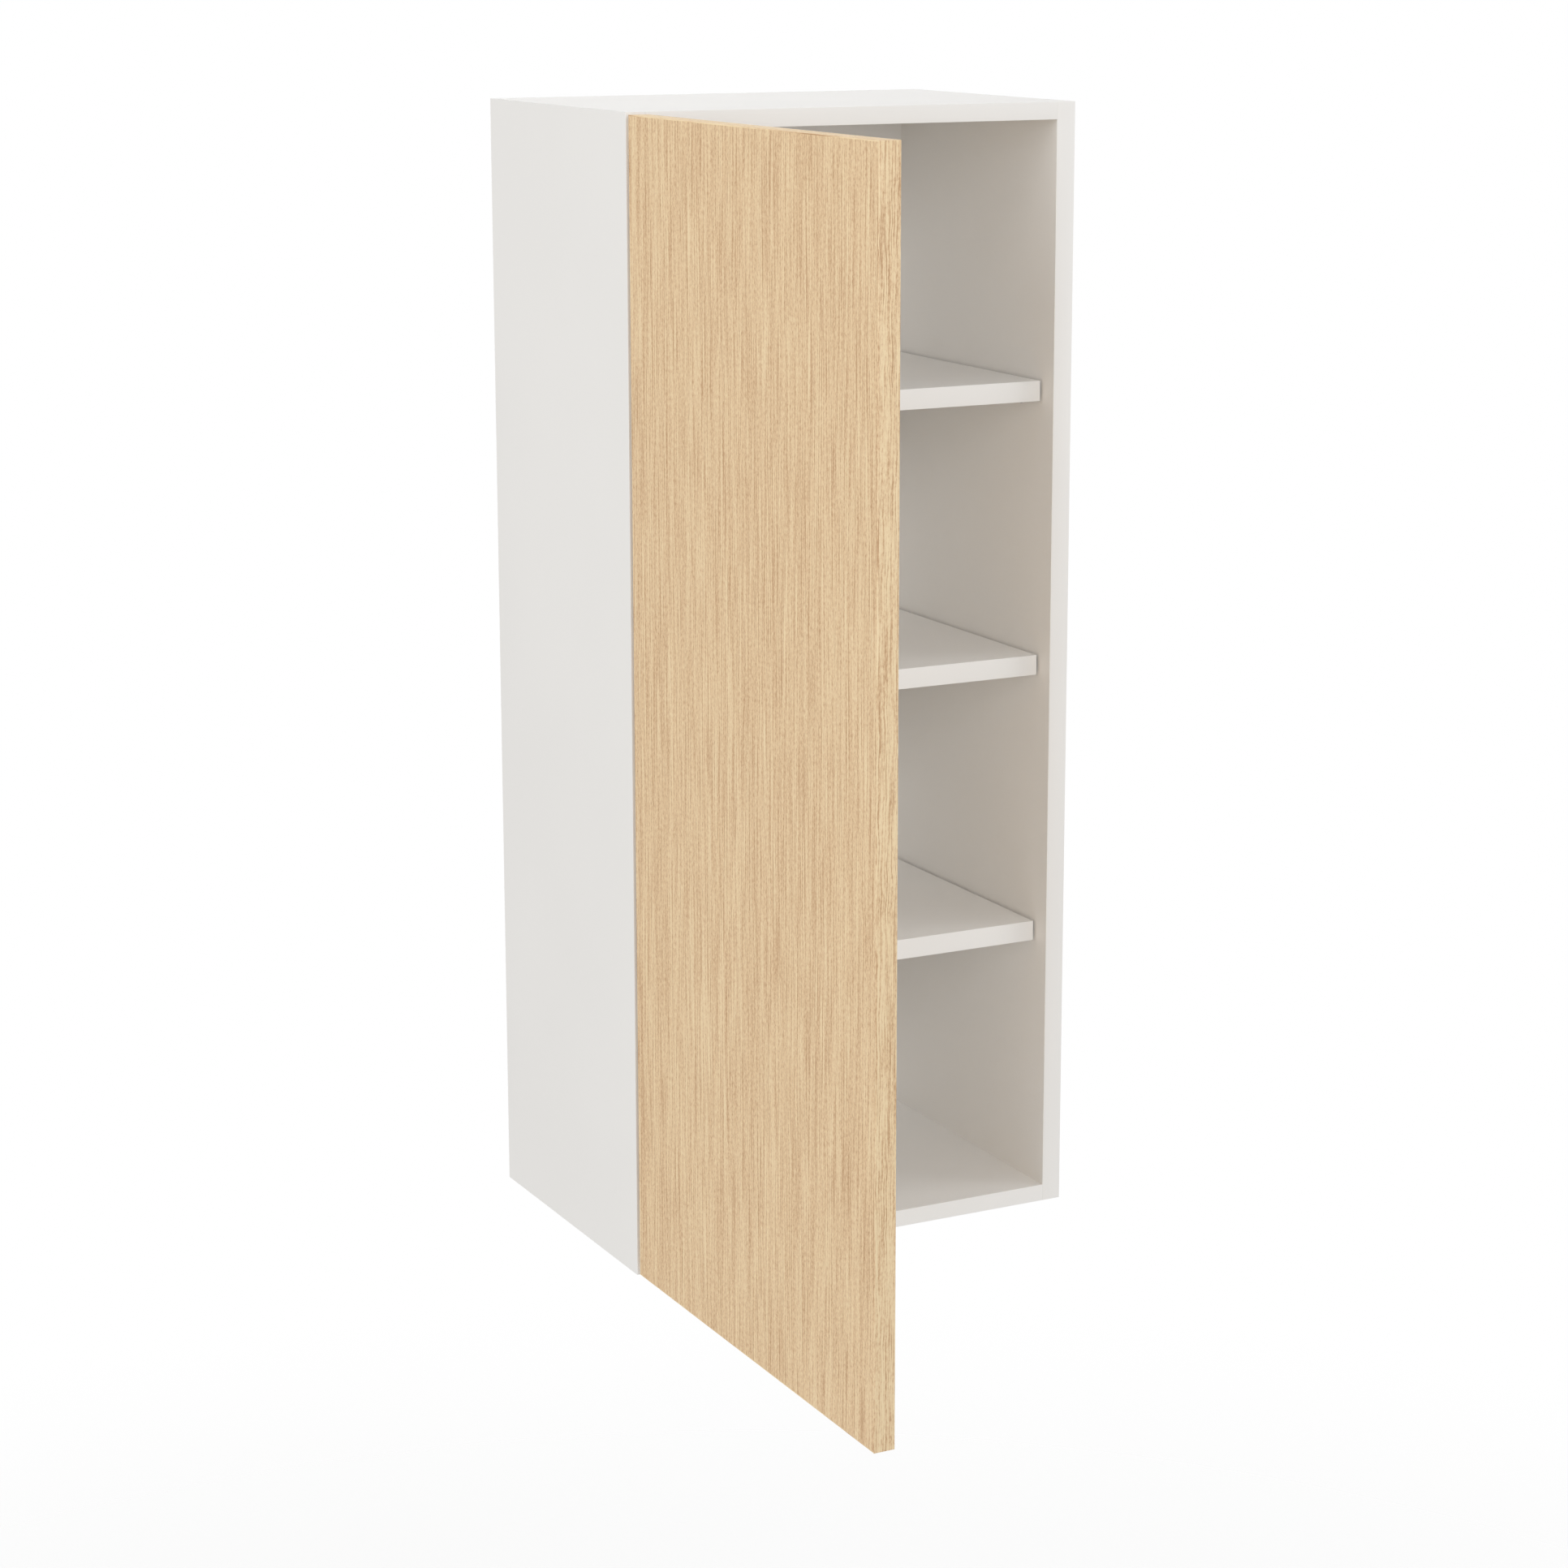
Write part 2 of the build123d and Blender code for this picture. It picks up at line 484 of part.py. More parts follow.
with BuildPart() as clamp_screws:
    for hinge_z in HINGE_HEIGHTS:
        head = (-INNER_X + ARM_STANDOFF + ARM_SHEET, FRONT_Y + CLAMP_LINE, hinge_z)
        rod(head, (1, 0, 0), CLAMP_HEAD_R, CLAMP_HEAD)
        rod(head, (-1, 0, 0), CLAMP_SCREW_R, CLAMP_SCREW_LENGTH)
save(clamp_screws, "hinge_clamp_screws")
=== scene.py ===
"""Looks of a hanging wall cabinet: white board carcass, oak door, nickel hinges and small fittings."""

import json
import math

import bmesh
import bpy
from bpy.props import FloatProperty, FloatVectorProperty, PointerProperty
from mathutils import Matrix, Vector


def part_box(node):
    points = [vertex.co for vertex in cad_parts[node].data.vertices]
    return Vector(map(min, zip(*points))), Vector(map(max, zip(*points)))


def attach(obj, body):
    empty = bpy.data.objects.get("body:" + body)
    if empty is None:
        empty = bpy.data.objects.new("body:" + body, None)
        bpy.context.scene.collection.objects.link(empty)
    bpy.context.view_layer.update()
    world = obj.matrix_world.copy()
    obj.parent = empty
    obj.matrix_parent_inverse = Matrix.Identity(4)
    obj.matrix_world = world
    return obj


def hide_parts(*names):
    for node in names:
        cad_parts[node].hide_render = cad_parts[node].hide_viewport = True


bl_info = {
    "name": "Hanging Wall Cabinet",
    "version": (1, 0, 0),
    "blender": (4, 5, 0),
    "location": "View3D > Sidebar > Cabinet",
    "description": "Builds the finishes and fittings of a wall cabinet around its CAD frame",
    "category": "Object",
}

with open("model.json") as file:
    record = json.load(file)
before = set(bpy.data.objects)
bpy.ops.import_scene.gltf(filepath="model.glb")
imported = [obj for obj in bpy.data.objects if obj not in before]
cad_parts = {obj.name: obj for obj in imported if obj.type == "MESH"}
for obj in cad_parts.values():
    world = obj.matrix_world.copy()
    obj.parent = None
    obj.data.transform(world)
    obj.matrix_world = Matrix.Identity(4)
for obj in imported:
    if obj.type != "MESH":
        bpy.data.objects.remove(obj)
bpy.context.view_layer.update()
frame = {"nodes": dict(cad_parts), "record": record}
RECORD = frame["record"]
PIVOT = Vector(RECORD["behaviour"]["joints"][0]["pos_m"])
MM = 0.001
HINGES = (1, 2, 3)
SHELVES = (1, 2, 3)
BOTH_ENDS = (-1, 1)

# How many steps a turned piece has round it, and how many a rounded corner has
CUP_STEPS = 56
KNUCKLE_STEPS = 28
SCREW_STEPS = 32
PIN_STEPS = 24
CAM_STEPS = 40
BUMPER_STEPS = 32
CORNER_STEPS = 8
EDGE_STEPS = 3

# Fitting sizes in millimetres. They follow the CAD fittings, which they stand for.
CUP_R = 17.5
CUP_FLANGE = 1.0
WING_SPACING = 48.0
WING_END = 5.0
WING_LAP = 0.4
WING_WIDTH = 12.0
WING_LIFT = 0.02
WING_CORNER_R = 4.5
WING_OFFSET = 6.0
ARM_SHEET = 1.6
ARM_BEND_R = 3.2
ARM_BEND_STEPS = 6
ARM_HALF_TONGUE = 4.0
ARM_SHOULDER = 19.0
ARM_FLARE = 3.0
ARM_NOSE = 4.0
ARM_NOSE_TAPER = 3.0
ARM_LIP = 3.2
LIP_START = 2.0
LIP_END = 3.0
ARM_EDGE_R = 0.25
KNUCKLE_CLEAR = 2.5
PLATE_SHEET = 1.5
PLATE_HALF_WING = 8.0
PLATE_WING_CORNER_R = 6.5
PLATE_HALF_RAIL = 7.0
PLATE_RAIL_ROUND = 1.2
PLATE_SCREW_RISE = 16.0
HANGER_SCREW_RISE = 24.0
PIN_COLLAR_R = 3.6
CAM_R = 7.5
BUMPER_R = 4.0
RECESS_WIDTH = 0.85
RECESS_DEPTH = 1.1
SMALL_RECESS_REACH = 1.9
LARGE_RECESS_REACH = 2.4
CAM_RECESS_REACH = 3.2
CAM_RECESS_WIDTH = 1.3
CAM_RECESS_DEPTH = 2.0

# Turned outlines as (radius, height) in millimetres
CUP_OUTLINE = [
    (0, -12.7), (15.6, -12.7), (16.5, -12.35), (16.85, -11.5), (16.85, 0.3), (17.1, 0.8), (17.7, 1.0),
    (18.2, 0.85), (18.5, 0.4), (18.5, 0.02), (17.45, 0.02), (17.45, -13.0), (17.0, -13.5), (0, -13.5)]
KNUCKLE_OUTLINE = [(1.25, -4), (2.0, -4), (2.0, 4), (1.25, 4), (1.25, -4)]
CUP_SCREW = [
    (0, 1.9), (1.6, 1.75), (2.9, 1.2), (3.5, 0.5), (3.5, 0.0), (1.7, 0.0), (1.7, -13.0), (0, -13.6)]
CUP_SCREW_SCALE = 0.92
PLATE_SCREW = [
    (0, 1.7), (2.6, 1.6), (3.8, 1.1), (4.2, 0.4), (4.2, 0.0), (3.0, 0.0), (3.0, -12.0), (0, -13.0)]
CLAMP_SCREW = [
    (0, 1.5), (2.8, 1.4), (3.7, 1.0), (4.0, 0.5), (4.0, 0.0), (2.5, 0.0), (2.5, -5.5), (0, -6.0)]
HANGER_SCREW = [(0, 0.14), (2.8, 0.1), (3.15, -0.1), (1.75, -1.9), (1.75, -12.5), (0, -14.0)]
PIN_OUTLINE = [
    (0, -8.0), (2.1, -8.0), (2.5, -7.5), (2.5, 0.0), (3.3, 0.0), (3.6, 0.3), (3.6, 0.9), (3.3, 1.2),
    (2.5, 1.2), (2.5, 7.4), (2.2, 7.9), (0, 8.0)]
CAM_OUTLINE = [
    (0, 0.0), (5.4, 0.0), (5.7, 0.35), (6.4, 0.35), (6.7, 0.0), (7.2, 0.0), (7.5, 0.3), (7.5, 11.7),
    (7.2, 12.0), (0, 12.0)]
BUMPER_OUTLINE = [(0, 2.85), (1.4, 2.75), (2.6, 2.35), (3.4, 1.7), (3.85, 0.9), (4.0, 0.0), (0, 0.0)]


def low(node):
    """A CAD node's lowest corner."""
    return Vector(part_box(node)[0])


def high(node):
    """A CAD node's highest corner."""
    return Vector(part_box(node)[1])


def middle(node):
    """The middle of a CAD node's box."""
    return (low(node) + high(node)) / 2


# Sizes and colours that a user would change

class CabinetBoards(bpy.types.PropertyGroup):
    white: FloatVectorProperty(
        name="White", description="Colour of the melamine boards", subtype="COLOR", size=3,
        default=(0.93, 0.915, 0.89), min=0, max=1)
    pearl: FloatProperty(
        name="Pearl texture", description="Depth of the fine texture pressed into the white boards",
        default=0.00003, min=0, max=0.001, unit="LENGTH")
    band_round: FloatProperty(
        name="Edge band rounding", description="Radius on the outer edges of every edge band",
        default=0.0004, min=0.0001, max=0.0009, unit="LENGTH")


class CabinetOak(bpy.types.PropertyGroup):
    light: FloatVectorProperty(
        name="Light wood", description="Colour of the pale early wood", subtype="COLOR", size=3,
        default=(0.95, 0.755, 0.475), min=0, max=1)
    body: FloatVectorProperty(
        name="Body wood", description="Middle colour of the oak", subtype="COLOR", size=3,
        default=(0.825, 0.59, 0.35), min=0, max=1)
    dark: FloatVectorProperty(
        name="Dark wood", description="Colour of the dark grain lines", subtype="COLOR", size=3,
        default=(0.56, 0.34, 0.18), min=0, max=1)
    streak: FloatProperty(
        name="Streak width", description="Width of one fine grain streak across the door",
        default=0.0013, min=0.0005, max=0.01, unit="LENGTH")
    edge_streak: FloatProperty(
        name="Edge streak width", description="Width of one grain line on the edge bands",
        default=0.0011, min=0.0005, max=0.01, unit="LENGTH")


class CabinetStage(bpy.types.PropertyGroup):
    floor_drop: FloatProperty(
        name="Floor drop", description="How far the floor lies under the cabinet",
        default=1.15, min=0.1, max=3, unit="LENGTH")
    daylight: FloatProperty(
        name="Daylight", description="Strength of the even light from all around",
        default=0.49, min=0, max=3)
    top_light: FloatProperty(
        name="Top light", description="Power of the soft light above the cabinet",
        default=11, min=0, max=500, unit="POWER")
    front_light: FloatProperty(
        name="Front light", description="Power of the wide soft light that reaches into the cabinet",
        default=46, min=0, max=500, unit="POWER")
    far_light: FloatProperty(
        name="Far lights",
        description="Power of the soft lights on the sides turned away from the camera",
        default=25, min=0, max=500, unit="POWER")
    side_light: FloatProperty(
        name="Side light", description="Power of the soft light on the door's side",
        default=51, min=0, max=500, unit="POWER")


# Shader graphs

class Wire:
    """A shader socket on which Python arithmetic adds Math nodes."""

    def __init__(self, graph, socket):
        self.graph = graph
        self.socket = socket

    def math(self, operation, *values):
        return self.graph.node("ShaderNodeMath", {"operation": operation}, dict(enumerate(values)))

    def __add__(self, other):
        return self.math("ADD", self, other)

    __radd__ = __add__

    def __sub__(self, other):
        return self.math("SUBTRACT", self, other)

    def __rsub__(self, other):
        return self.math("SUBTRACT", other, self)

    def __mul__(self, other):
        return self.math("MULTIPLY", self, other)

    __rmul__ = __mul__

    def size(self):
        return self.math("ABSOLUTE", self)

    def above(self, edge):
        return self.math("GREATER_THAN", self, edge)

    def smooth(self, start, end):
        """0 below start, 1 above end and a soft step between."""
        return self.graph.node("ShaderNodeMapRange", {"interpolation_type": "SMOOTHSTEP"},
                               {"Value": self, "From Min": start, "From Max": end})


class Graph:
    """A new material's nodes."""

    def __init__(self, name, **shader):
        self.material = bpy.data.materials.new(name)
        self.material.use_nodes = True
        self.tree = self.material.node_tree
        self.shader = self.tree.nodes["Principled BSDF"]
        for socket, value in shader.items():
            self.shader.inputs[socket.replace("_", " ")].default_value = value
        self.place = self.node("ShaderNodeTexCoord", {}, {}, "Object")
        self.x, self.y, self.z = (
            self.node("ShaderNodeSeparateXYZ", {}, {0: self.place}, axis) for axis in "XYZ")

    def node(self, kind, settings, inputs, output=0):
        """Adds a node, sets it up, fills its sockets and gives one of its outputs."""
        added = self.tree.nodes.new(kind)
        for name, value in settings.items():
            if name == "stops":
                self.set_stops(added.color_ramp, value)
            else:
                setattr(added, name, value)
        for name, value in inputs.items():
            if isinstance(value, Wire):
                self.tree.links.new(value.socket, added.inputs[name])
            else:
                added.inputs[name].default_value = value
        return Wire(self, added.outputs[output])

    def set_stops(self, ramp, stops):
        while len(ramp.elements) < len(stops):
            ramp.elements.new(1)
        for element, (place, colour) in zip(ramp.elements, stops):
            element.position = place
            element.color = (*colour, 1)

    def stretched(self, *counts):
        """The place on the object, scaled along X, Y and Z by counts per metre."""
        return self.vector("MULTIPLY", self.place, counts)

    def vector(self, operation, *values):
        return self.node("ShaderNodeVectorMath", {"operation": operation}, dict(enumerate(values)))

    def joined(self, *values):
        return self.node("ShaderNodeCombineXYZ", {}, dict(enumerate(values)))

    def noise(self, vector, detail=2.0, roughness=0.5):
        """A noise value around one half."""
        return self.node("ShaderNodeTexNoise", {},
                         {"Vector": vector, "Scale": 1.0, "Detail": detail, "Roughness": roughness})

    def colours(self, value, *stops):
        """A colour ramp from pairs of place and colour."""
        return self.node("ShaderNodeValToRGB", {"stops": stops}, {0: value})

    def mix(self, factor, first, second):
        """Mixes two colours, each a Wire or three numbers."""
        first, second = (
            colour if isinstance(colour, Wire) else (*colour, 1) for colour in (first, second))
        return self.node("ShaderNodeMix", {"data_type": "RGBA"}, {0: factor, 6: first, 7: second}, 2)

    def clouded(self, cloud, colour, dimming):
        """A colour that a cloudy value dims softly in places."""
        return self.mix(cloud.smooth(0.3, 0.7), scaled(colour, dimming), colour)

    def bump(self, height, distance):
        """A bumped normal from a height between 0 and 1 and its depth in metres."""
        return self.node("ShaderNodeBump", {}, {"Height": height, "Distance": distance})

    def facing(self, *axis):
        """How squarely the surface looks along an axis of the object, from -1 to 1."""
        normal = self.node("ShaderNodeNewGeometry", {}, {}, "Normal")
        settings = {"vector_type": "NORMAL", "convert_from": "WORLD", "convert_to": "OBJECT"}
        turned = self.node("ShaderNodeVectorTransform", settings, {0: normal})
        return self.node("ShaderNodeVectorMath", {"operation": "DOT_PRODUCT"},
                         {0: turned, 1: axis}, "Value")

    def feed(self, **sockets):
        """Links values to the shader and gives the material."""
        for name, value in sockets.items():
            self.tree.links.new(value.socket, self.shader.inputs[name.replace("_", " ")])
        return self.material


def scaled(colour, factor):
    """A colour made darker or lighter by a factor, at most 1 in each channel."""
    return tuple(min(1.0, channel * factor) for channel in colour)


# Finishes

# How far cloudy places are dimmed, and how much rougher a bare rear is than the pearl texture
CLOUD_DIMMING = 0.985
REAR_ROUGHER = 3


def chip_pattern(graph):
    """Colour and height of raw chipboard: pressed chips in many tints with finer fibres over them."""
    warp = graph.noise(graph.stretched(300, 300, 300), 2.0)
    push = warp * 2
    bent = graph.vector("ADD", graph.stretched(900, 900, 620), graph.joined(push, push, push))
    cell = graph.node("ShaderNodeTexVoronoi", {"feature": "F1"}, {"Vector": bent, "Scale": 1.0}, 1)
    tint = graph.node("ShaderNodeSeparateColor", {}, {0: cell})
    fibre = graph.noise(graph.stretched(2600, 2600, 700), 3.0, 0.65)
    chips = graph.colours(tint, (0.0, (0.40, 0.28, 0.17)), (0.3, (0.55, 0.41, 0.26)),
                          (0.7, (0.65, 0.50, 0.33)), (1.0, (0.74, 0.60, 0.42)))
    fibres = graph.colours(fibre, (0.3, (0.33, 0.23, 0.14)), (0.7, (0.76, 0.62, 0.44)))
    return graph.mix(0.5, chips, fibres), tint * 0.6 + fibre * 0.4


def white_surface(graph, boards):
    """Colour and height of white board: faint clouding, rare specks and a pearl texture."""
    cloud = graph.noise(graph.stretched(5, 5, 5))
    grain = graph.noise(graph.stretched(900, 900, 900), 2.0, 0.6)
    dimple = graph.noise(graph.stretched(330, 330, 330))
    white = graph.clouded(cloud, boards.white, CLOUD_DIMMING)
    colour = graph.mix(grain.smooth(0.62, 0.78) * 0.06, white, scaled(boards.white, 0.7))
    return colour, dimple * 0.6 + grain * 0.4


def melamine(boards):
    """White melamine board; its rear edges have no band and show the raw chipboard."""
    graph = Graph("white melamine board")
    white, pearl = white_surface(graph, boards)
    chips, chip_height = chip_pattern(graph)
    rear = graph.facing(0, 1, 0).above(0.9) * graph.y.above(-0.5 * MM)
    height = pearl * (1 - rear) + chip_height * rear * REAR_ROUGHER
    roughness = 0.4 + 0.12 * pearl + 0.35 * rear
    return graph.feed(Base_Color=graph.mix(rear, white, chips), Roughness=roughness,
                      Normal=graph.bump(height, boards.pearl))


def white_edge(boards):
    """White plastic edge band, a little smoother than the boards."""
    graph = Graph("white edge band")
    cloud = graph.noise(graph.stretched(12, 12, 6))
    pearl = graph.noise(graph.stretched(700, 700, 700), 2.0)
    colour = graph.clouded(cloud, boards.white, CLOUD_DIMMING)
    return graph.feed(Base_Color=colour, Roughness=0.34 + 0.14 * pearl,
                      Normal=graph.bump(pearl, boards.pearl * 0.6))


def thin_back(boards):
    """Thin fibreboard: white foil towards the inside, bare brown fibre towards the wall."""
    graph = Graph("thin back board")
    white, pearl = white_surface(graph, boards)
    fibre = graph.noise(graph.stretched(260, 260, 260), 5.0, 0.7)
    mesh = graph.node("ShaderNodeTexVoronoi", {"feature": "F1"},
                      {"Vector": graph.stretched(450, 1, 450), "Scale": 1.0})
    brown = graph.colours(fibre, (0.3, (0.17, 0.105, 0.06)), (0.5, (0.26, 0.17, 0.10)),
                          (0.72, (0.36, 0.25, 0.16)))
    rear = graph.facing(0, 1, 0).above(0.5)
    height = pearl * (1 - rear) + (fibre + mesh) * rear * REAR_ROUGHER
    return graph.feed(Base_Color=graph.mix(rear, white, brown), Roughness=0.42 + 0.1 * pearl + 0.3 * rear,
                      Normal=graph.bump(height, boards.pearl))


def oak_grain(graph, oak, across, through, along, streak, run, contrast, sway, base):
    """Oak grain. across, through and along are places relative to the grain, streak and run are a grain
    line's width and length, sway is how far and how often the lines wander, and base is how pale the
    wood is between the dark and the pale colour. Gives the colour, bump height, tone and pores."""
    width, rate = sway
    wander = graph.noise(graph.joined(across * rate, through * rate, along * rate), 2.0)
    bent = across + (wander - 0.5) * width
    lines = graph.noise(graph.joined(bent * (1 / streak), through * 90, along * (1 / run)), 2.0, 0.6)
    thin = graph.noise(graph.joined(bent * (2 / streak), through * 90, along * (1.1 / run)), 1.0)
    pale = graph.noise(graph.joined(bent * (0.9 / streak), through * 90, along * (0.6 / run)), 1.0)
    band = graph.noise(graph.joined(bent * 60, through * 60, along * 1.6), 2.0)
    wide = graph.noise(graph.joined(bent * 14, through * 14, along * 0.7), 2.0)
    fleck = graph.noise(graph.joined(across * 620, through * 620, along * 260), 2.0, 0.75)
    tone = (base + (lines - 0.5) * contrast
            + (band - 0.5) * 0.2 + (wide - 0.5) * 0.2 + (fleck - 0.5) * 1.4
            - thin.smooth(0.56, 0.72) * 0.36 * contrast + pale.smooth(0.6, 0.75) * 0.25 * contrast)
    wood = graph.colours(tone, (0.1, oak.dark), (0.5, oak.body), (0.9, oak.light))
    pore = graph.noise(graph.joined(bent * (1.6 / streak), through * 300, along * 55), 1.0)
    pores = pore.smooth(0.68, 0.8)
    colour = graph.mix(pores * 0.3, wood, scaled(oak.dark, 0.8))
    height = 0.6 * lines + 0.3 * fleck - 0.4 * pores
    return colour, height, tone, pores


def oak_face(oak):
    """Straight-grained oak on the door's two faces."""
    graph = Graph("oak door face")
    colour, height, tone, pores = oak_grain(
        graph, oak, graph.y, graph.x, graph.z,
        streak=oak.streak, run=0.09, contrast=1.5, sway=(0.003, 6), base=0.56)
    roughness = 0.5 + 0.14 * (1 - tone) + 0.12 * pores
    return graph.feed(Base_Color=colour, Roughness=roughness, Normal=graph.bump(height, 0.04 * MM))


def oak_edge(oak):
    """Bolder oak on the door's edge bands. It runs along each band: up the two long ones and across the
    door on the top and bottom ones."""
    graph = Graph("oak edge band")
    lines = {"streak": oak.edge_streak, "run": 0.07, "sway": (0.0045, 28), "base": 0.68}
    standing = oak_grain(graph, oak, graph.x, graph.y * 0.1, graph.z, contrast=2.4, **lines)
    lying = oak_grain(graph, oak, graph.x, graph.z * 0.1, graph.y, contrast=0.9, **lines)
    flat = graph.facing(0, 0, 1).size().above(0.7)
    colour = graph.mix(flat, standing[0], lying[0])
    height, tone, pores = (up + (across - up) * flat for up, across in zip(standing[1:], lying[1:]))
    roughness = 0.48 + 0.14 * (1 - tone) + 0.12 * pores
    return graph.feed(Base_Color=colour, Roughness=roughness, Normal=graph.bump(height, 0.06 * MM))


def raw_chipboard():
    """Bare chipboard on the door's core."""
    graph = Graph("raw chipboard")
    chips, height = chip_pattern(graph)
    return graph.feed(Base_Color=chips, Roughness=0.75 + 0.15 * height,
                      Normal=graph.bump(height, 0.15 * MM))


def beech():
    """Turned beech with fine rings, for the dowels."""
    graph = Graph("turned beech")
    ring = graph.noise(graph.stretched(60, 900, 900), 3.0)
    colour = graph.colours(ring, (0.3, (0.58, 0.40, 0.24)), (0.7, (0.76, 0.58, 0.38)))
    return graph.feed(Base_Color=colour, Roughness=0.55 + 0.2 * ring, Normal=graph.bump(ring, 0.05 * MM))


def plated(name, tint, rough, brushed):
    """Plated steel or zinc: faint brush lines, cloudy plating and light handling marks."""
    graph = Graph(name, Metallic=1.0)
    counts = (700, 700, 5500) if brushed else (1600, 1600, 1600)
    lines = graph.noise(graph.stretched(*counts), 3.0, 0.6)
    cloud = graph.noise(graph.stretched(90, 90, 90), 3.0)
    marks = graph.noise(graph.stretched(260, 2400, 260), 2.0).smooth(0.62, 0.72)
    roughness = rough + 0.12 * (lines - 0.5) + 0.1 * (cloud - 0.5) + 0.08 * marks
    return graph.feed(Base_Color=graph.clouded(cloud, tint, 0.9), Roughness=roughness,
                      Normal=graph.bump(lines + marks * 0.4, 0.012 * MM))


def soft_bumper():
    """Hazy, half-clear soft plastic."""
    graph = Graph("soft clear bumper", Transmission_Weight=0.55, IOR=1.45)
    haze = graph.noise(graph.stretched(500, 500, 500), 3.0)
    colour = graph.colours(haze, (0.3, (0.80, 0.80, 0.79)), (0.7, (0.90, 0.90, 0.89)))
    return graph.feed(Base_Color=colour, Roughness=0.35 + 0.2 * haze,
                      Normal=graph.bump(haze, 0.03 * MM))


# Where the floor starts to fade and where it is gone, in metres from the middle, and half its width
FLOOR_FADE = (0.6, 2.6)
FLOOR_HALF = 2.7


def pale_floor():
    """A pale floor that fades out into the white surroundings."""
    graph = Graph("pale studio floor", Emission_Color=(1, 1, 1, 1), Emission_Strength=0.2)
    cloud = graph.noise(graph.stretched(0.6, 0.6, 0.6), 3.0)
    colour = graph.mix(cloud, (0.93, 0.93, 0.93), (0.95, 0.95, 0.95))
    away = graph.node("ShaderNodeVectorMath", {"operation": "LENGTH"},
                      {0: graph.joined(graph.x, graph.y, 0)}, "Value")
    return graph.feed(Base_Color=colour, Roughness=0.85 + 0.1 * cloud, Alpha=1 - away.smooth(*FLOOR_FADE))


FINISHES = {}


def make_finishes(boards, oak):
    """Makes each material slot's finish."""
    FINISHES["melamine"] = melamine(boards)
    FINISHES["white_edge"] = white_edge(boards)
    FINISHES["back_board"] = thin_back(boards)
    FINISHES["oak_face"] = oak_face(oak)
    FINISHES["oak_edge"] = oak_edge(oak)
    FINISHES["chipboard"] = raw_chipboard()
    FINISHES["beech"] = beech()
    FINISHES["zinc"] = plated("die-cast zinc", (0.62, 0.62, 0.63), 0.42, False)
    FINISHES["steel"] = plated("zinc-plated steel", (0.66, 0.66, 0.68), 0.32, False)
    FINISHES["nickel"] = plated("nickel-plated steel", (0.74, 0.725, 0.70), 0.22, True)
    FINISHES["rubber"] = soft_bumper()


# Mesh helpers

MERGE_DISTANCE = 1e-7
SHARP_ANGLE = math.radians(35)


def place(bm, verts, matrix):
    """Moves vertices by a matrix."""
    bmesh.ops.transform(bm, matrix=matrix, verts=verts)


def round_edges(bm, edges, radius, segments=EDGE_STEPS):
    """Rounds edges with a radius."""
    bmesh.ops.bevel(bm, geom=edges, offset=radius, offset_type="OFFSET", segments=segments,
                    profile=0.5, affect="EDGES", material=-1, clamp_overlap=True)


def add_block(bm, start, end):
    """A box between two corners. Gives its vertices."""
    size = Vector(end) - Vector(start)
    centre = (Vector(start) + Vector(end)) / 2
    verts = bmesh.ops.create_cube(bm, size=1)["verts"]
    place(bm, verts, Matrix.Translation(centre) @ Matrix.Diagonal((*size, 1)))
    return verts


def once(items):
    """Each item once, in the order in which they first come, so that every run makes the same mesh."""
    return list(dict.fromkeys(items))


def edges_of(verts):
    """Every edge that meets one of the vertices."""
    return once(edge for vert in verts for edge in vert.link_edges)


def runs_along(edge, axis):
    """Whether an edge runs along the numbered axis, 0 for X, 1 for Y and 2 for Z."""
    return abs((edge.verts[0].co - edge.verts[1].co).normalized()[axis]) > 0.99


def add_turned(bm, profile, matrix, steps):
    """Turns a profile of (radius, height) round Z and places it. A closed profile repeats its first
    point. Gives the vertices."""
    closed = profile[0] == profile[-1]
    points = profile[:-1] if closed else profile
    verts = [bm.verts.new((radius, 0, height)) for radius, height in points]
    pairs = list(zip(verts, verts[1:])) + ([(verts[-1], verts[0])] if closed else [])
    edges = [bm.edges.new(pair) for pair in pairs]
    bmesh.ops.spin(bm, geom=verts + edges, cent=(0, 0, 0), axis=(0, 0, 1), angle=2 * math.pi,
                   steps=steps, use_merge=True, use_duplicate=False)
    made = dict.fromkeys(vert for vert in verts if vert.is_valid)
    reached = list(made)
    while reached:
        for edge in reached.pop().link_edges:
            for vert in edge.verts:
                if vert not in made:
                    made[vert] = None
                    reached.append(vert)
    bmesh.ops.remove_doubles(bm, verts=list(made), dist=MERGE_DISTANCE)
    made = [vert for vert in made if vert.is_valid]
    bmesh.ops.recalc_face_normals(bm, faces=once(face for vert in made for face in vert.link_faces))
    place(bm, made, matrix)
    return made


def pointing(where, direction):
    """A matrix that moves the origin to a place and turns +Z along a direction."""
    return Matrix.Translation(where) @ Vector(direction).to_track_quat("Z", "Y").to_matrix().to_4x4()


def cut_crosses(piece, places, reach, width, depth):
    """Cuts a cross recess into a piece at each placed origin and applies the cut."""
    bm = bmesh.new()
    for matrix in places:
        for size in ((2 * reach, width), (width, 2 * reach)):
            verts = bmesh.ops.create_cube(bm, size=1)["verts"]
            place(bm, verts, matrix @ Matrix.Diagonal((*size, 2 * depth, 1)))
    cutter = new_object("cutter", bm)
    cutting = piece.modifiers.new("recess", "BOOLEAN")
    cutting.operation = "DIFFERENCE"
    cutting.solver = "EXACT"
    cutting.use_self = True
    cutting.object = cutter
    evaluated = piece.evaluated_get(bpy.context.evaluated_depsgraph_get())
    mesh = bpy.data.meshes.new_from_object(evaluated)
    piece.modifiers.clear()
    piece.data = mesh
    bpy.data.objects.remove(cutter)


